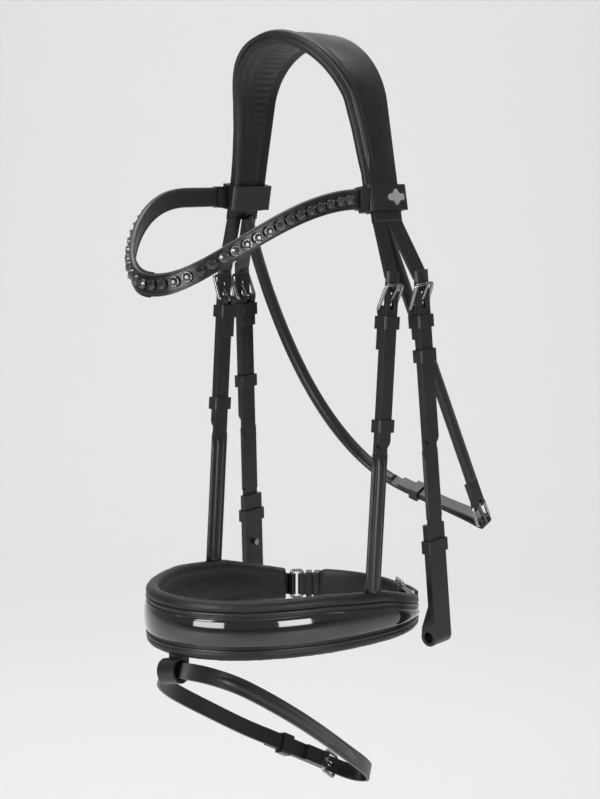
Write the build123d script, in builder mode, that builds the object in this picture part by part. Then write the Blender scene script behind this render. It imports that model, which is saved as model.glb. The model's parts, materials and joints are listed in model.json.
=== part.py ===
from build123d import *
import os
from math import acos, asin, atan2, cos, degrees, pi, radians, sin, tan

os.makedirs("parts", exist_ok=True)

# A full size snaffle bridle as it hangs from the poll.  Millimetres, +Z up, -Y towards the nose,
# +X the horse's left (near) side.  The origin is the middle of the poll seat under the headpiece pad.

# ------------------------------------------------------------------------- headpiece sizes
seat_radius = 58.0            # arch of the poll, underside of the pad
arch_turn = 80.0              # degrees of arch on each side before the straight leg
pad_t = 4.5                   # lining and padding under the headpiece
leather_t = 3.0               # headpiece leather
pad_leg = 86.0                # straight leg of the pad below the arch
leather_leg = 94.0            # straight leg of the leather, down to the split into billets
crown_half = 31.0             # half width of the leather along the neck at the poll
pad_margin = 1.5              # rolled edge of the pad beyond the leather
strap_front_y = -2.5          # front edge of the narrowed headpiece at the browband
strap_rear_y = 30.5           # rear edge of the headpiece

# ------------------------------------------------------------------------- straps and buckles
hanger_w = 14.0               # noseband hanger and its billet
cheek_w = 15.0                # cheekpiece and its billet
billet_t = 2.4                # leather of the billets
strap_t = 2.8                 # leather of the cheek and hanger straps
layer_gap = 0.2               # between a billet and the strap that it lies on
billet_gap = 3.6              # free length at a buckle, where the leather bends
wire_r = 1.4                  # buckle wire
bar_fit = 0.05                # radial clearance of a leather fold or a tongue on its bar
rail_clear = 1.0              # between a buckle's side rail and the billet's edge
frame_corner = 2.2            # bend of the buckle wire at its corners
frame_reach = 19.0            # from the bar to the outer cross bar
cross_drop = 4.0              # cross bar below the point where the billet bends
tongue_w = 3.4
tongue_t = 2.0
slot_clear = 0.4              # beside a tongue in its slot
keeper_h = 10.0               # height of a keeper along the strap
keeper_t = 1.8
keeper_clear = 0.3            # round the straps in a sliding keeper
side_clear = 0.1              # beside the strap in a sewn keeper
keeper_drop = 10.0            # middle of the sewn keeper below the buckle bar

buckle_z = -183.0             # height at which the billets bend, just above the buckles
hanger_top = (91.5, 6.0)      # x, y of the near hanger billet there
cheek_top = (98.0, 33.0)      # x, y of the near cheek billet there
hanger_foot = (91.0, -12.0, -430.0)   # where the hanger's plane meets the noseband
cheek_foot = (109.0, 53.0, -470.0)    # where the cheekpiece's plane ends at the bit
billet_tail = 131.0           # billet below its bend
hanger_chape = 31.0           # folded and stitched end below the buckle bar
cheek_chape = 24.0
hanger_keeper_at = {"near": 113.0, "far": 110.0}   # sliding keepers below the bend
cheek_keeper_at = {"near": 60.0, "far": 95.0}
hanger_length = 250.0         # hanger below the bend, into the noseband
cheek_length = 294.0          # cheekpiece below the bend, to the bottom of the bit loop
bit_bore_r = 4.5              # room for a bit ring in the cheekpiece's end
bit_end_w = 20.0              # widened bit end
bit_end_return = 92.0         # returned end above the middle of the bit loop
bit_keeper_up = 74.0          # sewn keeper above the middle of the bit loop
stud_r = 2.6                  # hook stud that closes the returned end
stud_up = 50.0

# ------------------------------------------------------------------------- browband sizes
browband_z = -121.0
loop_h = 20.0                 # height of the end loops
loop_t = 2.5
loop_slack = 1.9              # room across the headpiece, which lets the loop slide on its slope
loop_slack_y = 2.2
browband_half = 77.0          # half width of the browband's curve
browband_reach = 160.0        # forward reach from the headpiece
browband_power = 2.3          # superellipse exponent of its plan
browband_drop = 62.0          # how far its middle hangs below the loops
browband_dip = {1: (18.0, 2.0), -1: (50.0, 2.4)}   # where each side starts to dip, and how sharply
browband_h = 14.0
browband_t = 3.6
sleeve_t = 1.6
sleeve_len = 9.0
stone_count = 38
stone_start = 30.0            # first stone, forward of the headpiece
stone_r = 4.3
stone_h = 2.6
badge_size = 9.5
badge_bar = (18.0, 5.0)
badge_y = 21.0

# ------------------------------------------------------------------------- noseband sizes
nose_half = 92.0              # half width to the outer face of the leather
nose_front = 143.0            # forward reach of the outer face
nose_rear = 98.0              # rearward reach of the same curve
nose_power = 2.1              # superellipse exponent of the plan
nose_top_z = -421.0
nose_bottom_z = -467.0
nose_end_y = 60.0             # rear end of the padded part
nose_side_z = -426.0          # top edge beside the cheeks
nose_end_top_z = -440.0
nose_pad_t = 7.0
nose_leather_t = 2.5
patent_t = 1.5
roll_top = 10.0               # padding that stands above the leather face
roll_bottom = 8.0
patent_inset = 3.0            # patent strip inside the leather's edges
dee_r = 1.4                   # wire of the noseband's end rings
dee_pitch = 9.0               # between a ring's two bars
dee_h = 21.0                  # inner height of a ring
crank_z = -454.0
crank_w = 18.0
crank_t = 2.2
chin_half = 52.0              # half length of the chin pad across the jaw
chin_h = 30.0
chin_t = 6.0
crank_keeper_x = (-60.3, -54.8)
crank_buckle_x = 24.0

# ------------------------------------------------------------------------- flash sizes
flash_w = 13.0
flash_y = -142.0              # middle of the strap in the flash loop
flash_z = -479.0
flash_dip = 31.0              # degrees that the strap hangs below level
flash_roll = 12.0             # degrees that its near side hangs higher
flash_bore = 7.6
flash_wall = 2.4
flash_tab_w = 16.0
flash_half = 38.0
flash_length = 260.0

# ------------------------------------------------------------------------- throatlash sizes
lash_w = 11.0
lash_t = 2.6
lash_y = 14.6                 # middle of its top ends, under the pad's ends
lash_z = -138.0
lash_tilt = 25.5              # degrees that it hangs back from plumb
lash_top_x = 73.6
lash_near_x = 85.0            # near strap at its buckle
lash_near_s = 262.0           # buckle bar along the slope
lash_reach = 17.0             # from its buckle's bar to the cross bar

nodes = {}


def keep(name, part):
    """Label a finished piece and write it to its file."""
    part.label = name
    nodes[name] = part
    export_step(part, f"parts/{name}.step")


# ------------------------------------------------------------------------- the poll arch

def arch_at(out, run, side):
    """Point (x, z) on the leg, run below the arch and out from the seat line."""
    turn, radius = radians(arch_turn), seat_radius + out
    return (side * (radius * sin(turn) + run * cos(turn)),
            -seat_radius + radius * cos(turn) - run * sin(turn))


def arch_face(inner, outer, leg):
    """Front view of a layer that follows the poll arch between two distances from the seat."""
    with BuildSketch() as face:
        with BuildLine():
            Polyline(arch_at(outer, 0, -1), arch_at(outer, leg, -1), arch_at(inner, leg, -1),
                     arch_at(inner, 0, -1))
            ThreePointArc(arch_at(inner, 0, -1), (0, inner), arch_at(inner, 0, 1))
            Polyline(arch_at(inner, 0, 1), arch_at(inner, leg, 1), arch_at(outer, leg, 1),
                     arch_at(outer, 0, 1))
            ThreePointArc(arch_at(outer, 0, 1), (0, outer), arch_at(outer, 0, -1))
        make_face()
    return face.sketch


def neck_outline(margin):
    """Side view of the headpiece: broad at the poll, narrow at the browband."""
    low = arch_at(0, leather_leg, 1)[1] - 40
    front = [(-crown_half - margin, 30), (-crown_half + 1 - margin, 0), (-21 - margin, -20),
             (-11 - margin, -44), (-6.5 - margin, -67), (strap_front_y - 1 - margin, -95),
             (strap_front_y - margin / 2, -130), (strap_front_y - margin / 2, low)]
    with BuildSketch() as face:
        with BuildLine():
            Spline(*front)
            Polyline(front[-1], (strap_rear_y + margin / 2, low), (strap_rear_y + margin / 2, -95),
                     (crown_half + margin, 0), (crown_half + margin, 30), front[0])
        make_face()
    return face.sketch


def leg_plane(z, out, side):
    """Plane square to the headpiece leg at one height, x outwards and y towards the tail."""
    turn = radians(arch_turn)
    run = (-seat_radius + (seat_radius + out) * cos(turn) - z) / sin(turn)
    x, _ = arch_at(out, run, side)
    along = (side * cos(turn), 0, -sin(turn))
    return Plane(origin=(x, 0, z), x_dir=(side * sin(turn), 0, cos(turn)), z_dir=along)


# ------------------------------------------------------------------------- strap planes

def strap_plane(top, foot, side):
    """Plane of a hanging strap: y up the strap, z away from the horse, x across the strap."""
    origin = Vector(side * top[0], top[1], top[2])
    up = (origin - Vector(side * foot[0], foot[1], foot[2])).normalized()
    out = Vector(side, 0, 0)
    out = (out - up * out.dot(up)).normalized()
    return Plane(origin=origin, x_dir=up.cross(out), z_dir=out)


def local(plane, x, y, z):
    """Point of a plane's own coordinates."""
    return plane.from_local_coords((x, y, z))


def across(plane, y, z):
    """Plane square to a strap's width, at one place along and above it."""
    return Plane(origin=local(plane, 0, y, z), x_dir=plane.y_dir, z_dir=plane.x_dir)


def facing(plane, y, z):
    """The strap's own plane moved along it and out of it."""
    return Plane(origin=local(plane, 0, y, z), x_dir=plane.x_dir, z_dir=plane.z_dir)


def tipped(plane, angle):
    """The plane turned about its own x axis."""
    turn = radians(angle)
    return Plane(origin=plane.origin, x_dir=plane.x_dir,
                 z_dir=plane.z_dir * cos(turn) - plane.y_dir * sin(turn))


def spun(plane, angle):
    """The plane turned about its own z axis."""
    turn = radians(angle)
    return Plane(origin=plane.origin, z_dir=plane.z_dir,
                 x_dir=plane.x_dir * cos(turn) + plane.y_dir * sin(turn))


strap_face = -billet_t / 2 - layer_gap          # outer face of a strap under its billet
strap_mid = strap_face - strap_t / 2
fold_r = wire_r + bar_fit + strap_t * 0.7       # leather round a bar
bar_z = strap_face - fold_r                     # bar's middle, below the billet
bar_drop = cross_drop + frame_reach
cross_z = billet_t / 2 + 0.5 + wire_r           # cross bar's middle, over the billet
rail_tilt = degrees(atan2(cross_z - bar_z, frame_reach))
arm_length = (frame_reach ** 2 + (cross_z - bar_z) ** 2) ** 0.5
arm_rise = wire_r + tongue_t / 2 + bar_fit      # arm's middle over the cross bar's
arm_tilt = rail_tilt + degrees(asin(arm_rise / arm_length))
eye_r = wire_r + bar_fit + 1.1


def chape_profile(length):
    """Side view of the fold round a bar and its stitched return, drawn from the bar's middle."""
    face, back = strap_face - bar_z, strap_face - 2 * strap_t - bar_z
    with BuildSketch() as profile:
        with BuildLine():
            fold = CenterArc((0, 0), fold_r, 90, -180)
            Polyline(fold @ 1, (keeper_h / 2 - keeper_drop, back), (-length, back),
                     (-length, face), fold @ 0)
        make_face()
    return profile.sketch


def buckle_strap(plane, width, length, chape):
    """Strap that starts in a fold round the buckle bar and runs down the plane."""
    side = across(plane, -bar_drop, bar_z)
    with BuildPart() as strap:
        with BuildSketch(side):
            add(chape_profile(chape))
        extrude(amount=width / 2, both=True)
        with BuildSketch(facing(plane, -bar_drop - chape / 2, strap_face)):
            with Locations((0, -(length - bar_drop - chape / 2) / 2)):
                Rectangle(width, length - bar_drop - chape / 2)
        extrude(amount=-strap_t)
        with BuildSketch(side):
            Circle(wire_r + bar_fit)
        extrude(amount=width, both=True, mode=Mode.SUBTRACT)
        with BuildSketch(side):
            Rectangle(2 * (eye_r + 1.6), 4 * fold_r)
        extrude(amount=tongue_w / 2 + slot_clear, both=True, mode=Mode.SUBTRACT)
    return strap.part


def wire_ring(plane, half, bottom, top, corner, radius):
    """Closed ring of round wire in a plane, between two places along its y axis."""
    with BuildPart() as ring:
        with BuildLine(plane) as path:
            FilletPolyline((-half, bottom), (half, bottom), (half, top), (-half, top),
                           close=True, radius=corner)
        with BuildSketch(Plane(origin=path.line @ 0, z_dir=path.line % 0)):
            Circle(radius)
        sweep(path=path.line)
    return ring.part


def buckle_frame(plane, width, tilt=rail_tilt, reach=frame_reach):
    """Wire frame: its lower bar lies in the fold and its cross bar over the billet."""
    bar = Plane(origin=local(plane, 0, -bar_drop, bar_z), x_dir=plane.x_dir, z_dir=plane.z_dir)
    return wire_ring(tipped(bar, tilt), width / 2 + rail_clear + wire_r, 0,
                     reach / cos(radians(tilt)), frame_corner, wire_r)


def buckle_tongue(plane, tilt=arm_tilt, length=arm_length):
    """Tongue: an eye on the bar and an arm that rests on the cross bar."""
    side = across(plane, -bar_drop, bar_z)
    with BuildPart() as tongue:
        with BuildSketch(side):
            Circle(eye_r)
        extrude(amount=tongue_w / 2, both=True)
        with BuildSketch(spun(side, tilt)):
            with Locations((length / 2 + 1, 0)):
                SlotOverall(length + 4, tongue_t)
        extrude(amount=tongue_w / 2 - 0.5, both=True)
        with BuildSketch(side):
            Circle(wire_r + bar_fit)
        extrude(amount=tongue_w, both=True, mode=Mode.SUBTRACT)
    return tongue.part


def keeper(plane, width, at, inner, outer, gap, height=keeper_h):
    """Leather loop round the layers between two heights of the plane."""
    square = Plane(origin=local(plane, 0, -at, (inner + outer) / 2), x_dir=plane.x_dir,
                   z_dir=plane.y_dir)
    with BuildPart() as ring:
        with BuildSketch(square.offset(-height / 2)):
            RectangleRounded(width + 2 * gap + 2 * keeper_t, outer - inner + 2 * keeper_t, 1.5)
            Rectangle(width + 2 * gap, outer - inner, mode=Mode.SUBTRACT)
        extrude(amount=height)
    return ring.part


def tail_slot():
    """Slot in a billet for the tongue over its whole lift, along the plane below the bend."""
    low = bar_drop - (strap_face - bar_z) / 4 + 0.6
    high = bar_drop - (billet_t / 2 - bar_z) / tan(radians(arm_tilt)) - 2.8
    return high, low


def billet_end(plane, width, length):
    """Billet from just below its bend to its rounded tip, slotted for the tongue."""
    high, low = tail_slot()
    start = billet_gap / 2
    with BuildPart() as tail:
        with BuildSketch(facing(plane, 0, -billet_t / 2)):
            with BuildLine():
                half, tip = width / 2, -length
                Polyline((-half, tip + width * 0.6), (-half, -start), (half, -start),
                         (half, tip + width * 0.6))
                ThreePointArc((half, tip + width * 0.6), (0, tip), (-half, tip + width * 0.6))
            make_face()
            with Locations((0, -(high + low) / 2)):
                Rectangle(tongue_w + 2 * slot_clear, low - high, mode=Mode.SUBTRACT)
        extrude(amount=billet_t)
    return tail.part


def bit_end(plane):
    """Bit end of the cheekpiece: a loop for the bit ring and the stitched, returned end."""
    loop_r = bit_bore_r + strap_t
    bottom = -cheek_length + loop_r
    side = across(plane, bottom, strap_face - loop_r)
    face, back = loop_r, loop_r - 2 * strap_t
    start = bar_drop + cheek_chape / 2
    with BuildPart() as end:
        with BuildSketch(side):
            with BuildLine():
                loop = CenterArc((0, 0), loop_r, 90, 180)
                Polyline(loop @ 1, (8, -loop_r + 1.2), (26, back), (bit_end_return, back),
                         (bit_end_return, face), loop @ 0)
            make_face()
            Circle(bit_bore_r, mode=Mode.SUBTRACT)
        extrude(amount=bit_end_w / 2, both=True)
        with BuildSketch(facing(plane, -start, strap_face)):
            with Locations((0, (bottom + bit_end_return + start) / 2 - 2)):
                Rectangle(cheek_w, -bottom - bit_end_return - start + 4)
        extrude(amount=-strap_t)
    return end.part


# ------------------------------------------------------------------------- headpiece

with BuildPart() as headpiece_leather:
    with BuildSketch(Plane.XZ):
        add(arch_face(pad_t, pad_t + leather_t, leather_leg))
    extrude(amount=2 * crown_half, both=True)
    with BuildSketch(Plane.YZ):
        add(neck_outline(0))
    extrude(amount=200, both=True, mode=Mode.INTERSECT)

leg_bottom = arch_at(pad_t + leather_t / 2, leather_leg, 1)


def headpiece_billet(top, width, y_start, side):
    """Billet of the headpiece, from inside its leg down to the bend above the buckle."""
    start = Vector(side * leg_bottom[0], y_start, leg_bottom[1])
    end = Vector(side * top[0], top[1], buckle_z)
    up = (start - end).normalized()
    out = Vector(side, 0, 0)
    out = (out - up * out.dot(up)).normalized()
    plane = Plane(origin=end, x_dir=up.cross(out), z_dir=out)
    length = (start - end).length + 3
    with BuildPart() as billet:
        with BuildSketch(plane.offset(-billet_t / 2)):
            with Locations((0, (length + billet_gap / 2) / 2)):
                Rectangle(width, length - billet_gap / 2)
        extrude(amount=billet_t)
    return billet.part


leather = headpiece_leather.part
for side in (1, -1):
    leather += headpiece_billet(hanger_top, hanger_w, strap_front_y + hanger_w / 2 + 0.5, side)
    leather += headpiece_billet(cheek_top, cheek_w, strap_rear_y - cheek_w / 2 - 0.5, side)
keep("headpiece_leather", leather)

with BuildPart() as headpiece_pad:
    with BuildSketch(Plane.XZ):
        add(arch_face(0, pad_t, pad_leg))
    extrude(amount=2 * crown_half, both=True)
    with BuildSketch(Plane.YZ):
        add(neck_outline(pad_margin))
    extrude(amount=200, both=True, mode=Mode.INTERSECT)
keep("headpiece_pad", headpiece_pad.part)

# ------------------------------------------------------------------------- browband


def superellipse(turn, half, front, power):
    """Point of a superellipse, turn measured from +X towards the front."""
    c, s = cos(turn), sin(turn)
    x = half * abs(c) ** (2 / power) * (1 if c > 0 else -1)
    y = -front * abs(s) ** (2 / power) * (1 if s > 0 else -1)
    return x, y


def browband_level(y, side):
    """Height of the browband's middle line at a distance along the head, on one side."""
    start, power = browband_dip[side]
    return browband_z - browband_drop * max(0.0, (-y - start) / (browband_reach - start)) ** power


def browband_turn(y):
    """Turn of the browband's plan at a distance along the head."""
    return asin((-y / browband_reach) ** (browband_power / 2))


loop_y = (strap_front_y - pad_margin / 2 - loop_slack_y, strap_rear_y + pad_margin / 2 + loop_slack_y)
brow_start = browband_turn(loop_y[0] - loop_t)
brow_points = []
for step in range(33):
    turn = brow_start + (pi - 2 * brow_start) * step / 32
    brow_points.append(superellipse(turn, browband_half, browband_reach, browband_power))


def browband_half_band(side):
    """Half of the browband, cut from its plan by its side view."""
    ys = [20 - (browband_reach + 30) * step / 14 for step in range(15)]
    with BuildPart() as band:
        with BuildSketch(Plane.XY.offset(2 * browband_z)):
            with BuildLine():
                Spline(*brow_points)
            trace(line_width=browband_t)
        extrude(amount=-2 * browband_z)
        with BuildSketch(Plane.YZ):
            with BuildLine():
                top = Spline(*[(y, browband_level(y, side) + browband_h / 2) for y in ys])
                low = Spline(*[(y, browband_level(y, side) - browband_h / 2) for y in ys])
                Line(top @ 0, low @ 0)
                Line(top @ 1, low @ 1)
            make_face()
        extrude(amount=side * (browband_half + 20), mode=Mode.INTERSECT)
    return band.part


with BuildPart() as browband_strap:
    add(browband_half_band(1))
    add(browband_half_band(-1))
keep("browband_strap", browband_strap.part)


def browband_loop(side):
    """Leather loop at the browband's end, round the headpiece leg."""
    square = leg_plane(browband_z, (pad_t + leather_t) / 2, side)
    room_x = pad_t + leather_t + 2 * loop_slack
    room_y = loop_y[1] - loop_y[0]
    with BuildPart() as loop:
        with BuildSketch(square.offset(-loop_h / 2)):
            with Locations((0, (loop_y[0] + loop_y[1]) / 2 * square.y_dir.Y)):
                RectangleRounded(room_x + 2 * loop_t, room_y + 2 * loop_t, 3)
                RectangleRounded(room_x, room_y, 1, mode=Mode.SUBTRACT)
        extrude(amount=loop_h)
    return loop.part


def browband_sleeve(side):
    """Short sleeve round the browband just in front of its loop."""
    y = loop_y[0] - loop_t - sleeve_len / 2 - 1
    with BuildPart() as sleeve:
        with BuildSketch(Plane(origin=(side * browband_half, y, browband_z), x_dir=(1, 0, 0),
                               z_dir=(0, -1, 0)).offset(-sleeve_len / 2)):
            Rectangle(browband_t + 2 * sleeve_t + 0.4, browband_h + 2 * sleeve_t)
            Rectangle(browband_t + 0.4, browband_h + 0.1, mode=Mode.SUBTRACT)
        extrude(amount=sleeve_len)
    return sleeve.part


for side, word in ((1, "near"), (-1, "far")):
    keep(f"browband_loop_{word}", browband_loop(side))
    keep(f"browband_sleeve_{word}", browband_sleeve(side))


def stone_places():
    """Planes on the outer face of the browband, evenly spaced along it, facing outwards."""
    first = browband_turn(-stone_start)
    fine = [superellipse(first + (pi - 2 * first) * i / 400, browband_half, browband_reach,
                         browband_power) for i in range(401)]
    heights = [browband_level(y, 1 if x > 0 else -1) for x, y in fine]
    run = [0.0]
    for (x0, y0), (x1, y1), z0, z1 in zip(fine, fine[1:], heights, heights[1:]):
        run.append(run[-1] + ((x1 - x0) ** 2 + (y1 - y0) ** 2 + (z1 - z0) ** 2) ** 0.5)
    places = []
    for stone in range(stone_count):
        want = run[-1] * stone / (stone_count - 1)
        i = min(max(next(k for k, r in enumerate(run) if r >= want - 1e-6), 1), 399)
        (x0, y0), (x1, y1) = fine[i - 1], fine[i + 1]
        out = Vector(y0 - y1, x1 - x0, 0).normalized()
        if out.dot(Vector(fine[i][0], fine[i][1], 0)) < 0:
            out = out * -1
        spot = Vector(fine[i][0], fine[i][1], heights[i]) + out * (browband_t / 2 + 0.02)
        places.append(Plane(origin=spot, z_dir=out))
    return places


cups = []
for place in stone_places():
    with BuildPart() as cup:
        with BuildSketch(place):
            Circle(stone_r)
        extrude(amount=stone_h, taper=12)
    cups.append(cup.part)
keep("browband_stones", Compound(children=cups))

with BuildPart() as browband_badge:
    out_face = (pad_t + leather_t) / 2 + loop_slack + loop_t
    square = leg_plane(browband_z, (pad_t + leather_t) / 2, 1)
    with BuildSketch(Plane(origin=local(square, out_face, badge_y * square.y_dir.Y, 0),
                           x_dir=(0, 1, 0), z_dir=square.x_dir)):
        RectangleRounded(*badge_bar, 1.5)
        with Locations(Rotation(0, 0, 45)):
            RectangleRounded(badge_size, badge_size, 1)
    extrude(amount=1.2)
keep("browband_badge", browband_badge.part)

# ------------------------------------------------------------------------- noseband


def nose_outline(turn):
    """Outer face of the noseband in plan, turn measured from the near side to the front."""
    return superellipse(turn, nose_half, nose_front if sin(turn) > 0 else nose_rear, nose_power)


def nose_at(turn, inset):
    """Point of the noseband's plan, inset square to its outer face."""
    (x0, y0), (x1, y1) = nose_outline(turn - 0.002), nose_outline(turn + 0.002)
    length = ((x1 - x0) ** 2 + (y1 - y0) ** 2) ** 0.5
    x, y = nose_outline(turn)
    return x + (y1 - y0) / length * inset, y - (x1 - x0) / length * inset


def nose_out(turn):
    """Outward direction of the noseband's plan."""
    (x0, y0), (x1, y1) = nose_at(turn, 1), nose_at(turn, 0)
    return Vector(x1 - x0, y1 - y0, 0)


def turn_at_y(y):
    """Turn of the near side where it passes y behind the middle."""
    return -asin((y / nose_rear) ** (nose_power / 2))


def turn_at_x(x):
    """Turn of the rear of the plan where it passes x."""
    share = (abs(x) / nose_half) ** (nose_power / 2)
    return -acos(share if x > 0 else -share)


def nose_run(first, last, inset_first, inset_last, count):
    """Points between two turns, with an inset that changes evenly."""
    points = []
    for step in range(count):
        share = step / (count - 1)
        points.append(nose_at(first + (last - first) * share,
                              inset_first + (inset_last - inset_first) * share))
    return points


def nose_side(top_drop, bottom_rise, end_y):
    """Side view of the noseband: deep in front, tapering to its rear ends."""
    def top(y):
        slope = (nose_end_top_z - nose_side_z) / nose_end_y
        return nose_side_z + slope * y - top_drop
    with BuildSketch() as side:
        with BuildLine():
            Polyline((-nose_front - 20, nose_top_z - top_drop), (-60, nose_top_z - top_drop),
                     (0, top(0)), (end_y, top(end_y)), (end_y, nose_bottom_z + bottom_rise),
                     (-nose_front - 20, nose_bottom_z + bottom_rise), close=True)
        make_face()
    return side.sketch


def nose_layer(inset, thickness, top_drop, bottom_rise, end_y):
    """One layer of the noseband, from its near end round the front to its far end."""
    end = turn_at_y(nose_end_y + 8)
    with BuildPart() as layer:
        with BuildSketch(Plane.XY.offset(2 * nose_bottom_z)):
            with BuildLine():
                Spline(*nose_run(end, pi - end, inset, inset, 41))
            trace(line_width=thickness)
        extrude(amount=-2 * nose_bottom_z)
        with BuildSketch(Plane.YZ):
            add(nose_side(top_drop, bottom_rise, end_y))
        extrude(amount=nose_half + 20, both=True, mode=Mode.INTERSECT)
    return layer.part


fold_t = dee_r + bar_fit + crank_t            # leather folded round a ring's bar
dee_inset = nose_leather_t + dee_r            # middle of the end rings, inside the outer face
front_bar_y = nose_end_y + fold_t + 1
rear_bar_y = front_bar_y + dee_pitch * 0.8


def bar_spot(y, side):
    """Middle of a ring's bar at one end of the noseband."""
    x, y = nose_at(turn_at_y(y), dee_inset)
    return Vector(side * x, y, crank_z)


def ring_fold(spot, height):
    """Leather folded round an upright bar."""
    with BuildPart() as fold:
        with BuildSketch(Plane.XY.offset(crank_z - height / 2)):
            with Locations((spot.X, spot.Y)):
                Circle(fold_t)
        extrude(amount=height)
    return fold.part


def bar_bores(sides, y):
    """Bores for upright bars, one at each side that is named."""
    with BuildPart() as bores:
        for side in sides:
            with Locations(bar_spot(y, side)):
                Cylinder(dee_r + bar_fit, 3 * dee_h)
    return bores.part


keep("noseband_pad", nose_layer(nose_leather_t + nose_pad_t / 2, nose_pad_t, 0, 0, nose_end_y))

shell = nose_layer(nose_leather_t / 2, nose_leather_t, roll_top, roll_bottom, nose_end_y)
with BuildPart() as end_tabs:
    for side in (1, -1):
        run = nose_run(turn_at_y(nose_end_y - 5), turn_at_y(front_bar_y), nose_leather_t / 2,
                       dee_inset - fold_t + crank_t / 2, 4)
        with BuildSketch(Plane.XY.offset(crank_z - crank_w / 2)):
            with BuildLine():
                Spline(*[(side * x, y) for x, y in run])
            trace(line_width=crank_t)
        extrude(amount=crank_w)
shell += end_tabs.part
for side in (1, -1):
    shell += ring_fold(bar_spot(front_bar_y, side), crank_w)
shell -= nose_layer(nose_leather_t + nose_pad_t / 2, nose_pad_t, -5, -5, nose_end_y + 0.1)
keep("noseband_leather", shell - bar_bores((1, -1), front_bar_y))
keep("noseband_patent_strip", nose_layer(-patent_t / 2, patent_t, roll_top + patent_inset,
                                         roll_bottom + patent_inset, nose_end_y - 4))

for side, word in ((1, "near"), (-1, "far")):
    front_bar, rear_bar = bar_spot(front_bar_y, side), bar_spot(rear_bar_y, side)
    pitch = rear_bar - front_bar
    ring_plane = Plane(origin=front_bar, x_dir=(0, 0, 1),
                       z_dir=Vector(0, 0, 1).cross(pitch.normalized()))
    keep(f"noseband_{word}_dee", wire_ring(ring_plane, dee_h / 2 + dee_r, 0, pitch.length, 2.0,
                                           dee_r))

# ------------------------------------------------------------------------- hangers and cheekpieces

for side, word in ((1, "near"), (-1, "far")):
    hanger = strap_plane((*hanger_top, buckle_z), hanger_foot, side)
    cheek = strap_plane((*cheek_top, buckle_z), cheek_foot, side)
    doubled = strap_face - 2 * strap_t

    hanger_strap = buckle_strap(hanger, hanger_w, hanger_length, hanger_chape)
    keep(f"{word}_hanger_strap", hanger_strap - nodes["noseband_pad"] - nodes["noseband_leather"])
    keep(f"{word}_hanger_billet_end", billet_end(hanger, hanger_w, billet_tail))
    keep(f"{word}_hanger_buckle", buckle_frame(hanger, hanger_w))
    keep(f"{word}_hanger_tongue", buckle_tongue(hanger))
    keep(f"{word}_hanger_keeper", keeper(hanger, hanger_w, bar_drop + keeper_drop, doubled,
                                         billet_t / 2 + layer_gap, side_clear))
    keep(f"{word}_hanger_slider", keeper(hanger, hanger_w, hanger_keeper_at[word],
                                         strap_face - strap_t - keeper_clear,
                                         billet_t / 2 + keeper_clear, keeper_clear))

    cheekpiece = (buckle_strap(cheek, cheek_w, bar_drop + cheek_chape / 2 + 10, cheek_chape)
                  + bit_end(cheek))
    keep(f"{word}_cheek_strap", cheekpiece)
    keep(f"{word}_cheek_billet_end", billet_end(cheek, cheek_w, billet_tail))
    keep(f"{word}_cheek_buckle", buckle_frame(cheek, cheek_w))
    keep(f"{word}_cheek_tongue", buckle_tongue(cheek))
    keep(f"{word}_cheek_keeper", keeper(cheek, cheek_w, bar_drop + keeper_drop, doubled,
                                        billet_t / 2 + layer_gap, side_clear))
    keep(f"{word}_cheek_slider", keeper(cheek, cheek_w, cheek_keeper_at[word],
                                        strap_face - strap_t - keeper_clear,
                                        billet_t / 2 + keeper_clear, keeper_clear))
    bit_mid = cheek_length - bit_bore_r - strap_t
    keep(f"{word}_bit_keeper", keeper(cheek, bit_end_w, bit_mid - bit_keeper_up, doubled,
                                      strap_face, 0.0))
    with BuildPart() as stud:
        with BuildSketch(facing(cheek, -(bit_mid - stud_up), doubled)):
            Circle(stud_r * 0.6)
        extrude(amount=-1.6)
        with BuildSketch(facing(cheek, -(bit_mid - stud_up), doubled - 1.6)):
            Circle(stud_r)
        extrude(amount=-1.4)
    keep(f"{word}_bit_stud", stud.part)

# ------------------------------------------------------------------------- crank strap and chin pad

inner_mid = dee_inset + dee_r + bar_fit + crank_t / 2     # layer against the jaw
outer_mid = dee_inset - dee_r - bar_fit - crank_t / 2     # returned layer at the far ring
near_turn, far_turn = turn_at_y(rear_bar_y), -pi - turn_at_y(rear_bar_y)
bar_inset = inner_mid - crank_t / 2 - 0.15 - fold_r       # bar of the crank buckle
tail_mid = bar_inset + bar_z - 0.1                        # billet where it passes the buckle

buckle_turn = turn_at_x(crank_buckle_x)
buckle_out = nose_out(buckle_turn)
buckle_along = buckle_out.cross(Vector(0, 0, -1)).normalized()
buckle_spot = nose_at(buckle_turn, tail_mid)
crank_plane = Plane(origin=Vector(*buckle_spot, crank_z) + buckle_along * (bar_drop + cross_drop) / 2
                    - buckle_out * 0.4,
                    x_dir=buckle_along.cross(buckle_out), z_dir=buckle_out)
crank_bar = local(crank_plane, 0, -bar_drop, bar_z)

with BuildPart() as crank_strap:
    with BuildSketch(Plane.XY.offset(crank_z - crank_w / 2)):
        with BuildLine():
            Spline(*nose_run(near_turn - 0.02, far_turn, inner_mid, inner_mid, 25))
        trace(line_width=crank_t)
        with BuildLine():
            Spline(*nose_run(far_turn, turn_at_x(-10), outer_mid, tail_mid, 9),
                   *nose_run(turn_at_x(0), turn_at_x(34), tail_mid, tail_mid, 5),
                   *nose_run(turn_at_x(42), turn_at_x(54), tail_mid + 0.6, tail_mid + 1.2, 3))
        trace(line_width=crank_t)
        for side in (1, -1):
            with Locations(tuple(bar_spot(rear_bar_y, side))[:2]):
                Circle(fold_t)
                Circle(dee_r + bar_fit, mode=Mode.SUBTRACT)
    extrude(amount=crank_w)
    with BuildSketch(facing(crank_plane, -sum(tail_slot()) / 2, -2.5)):
        Rectangle(tongue_w + 2 * slot_clear, tail_slot()[1] - tail_slot()[0] + 1)
    extrude(amount=6, mode=Mode.SUBTRACT)
keep("crank_strap", crank_strap.part)

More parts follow.
